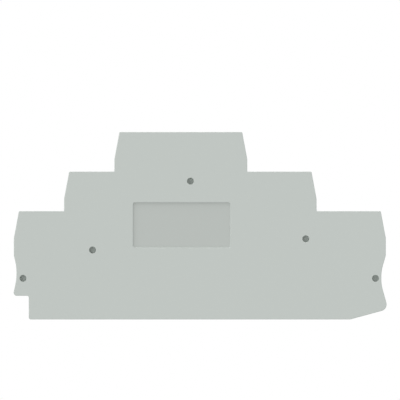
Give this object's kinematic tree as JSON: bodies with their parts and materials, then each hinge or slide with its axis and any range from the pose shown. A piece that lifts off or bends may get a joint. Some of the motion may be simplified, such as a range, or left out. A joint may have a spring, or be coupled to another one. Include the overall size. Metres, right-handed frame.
{
  "type": "terminal block end cover",
  "caption": "Flat stepped plastic end cover for a multi-level rail-mounted terminal block, with a marking recess, blind sockets and locating pins on the back.",
  "frame": {"origin": "on the plane of the pins' tips, under the middle of the plate's outline", "axes": "+X along the terminal block, towards the end with the deeper grip and the slanted foot; +Y from the rail side up the levels; +Z out of the cover's face, away from the block it closes"},
  "size_m": [0.1036, 0.052, 0.0037],
  "materials": {
    "light_grey_polyamide": "light grey moulded polyamide with a fine spark-eroded matt texture"
  },
  "bodies": {
    "root": {"end_cover": "light_grey_polyamide"}
  },
  "joints": []
}
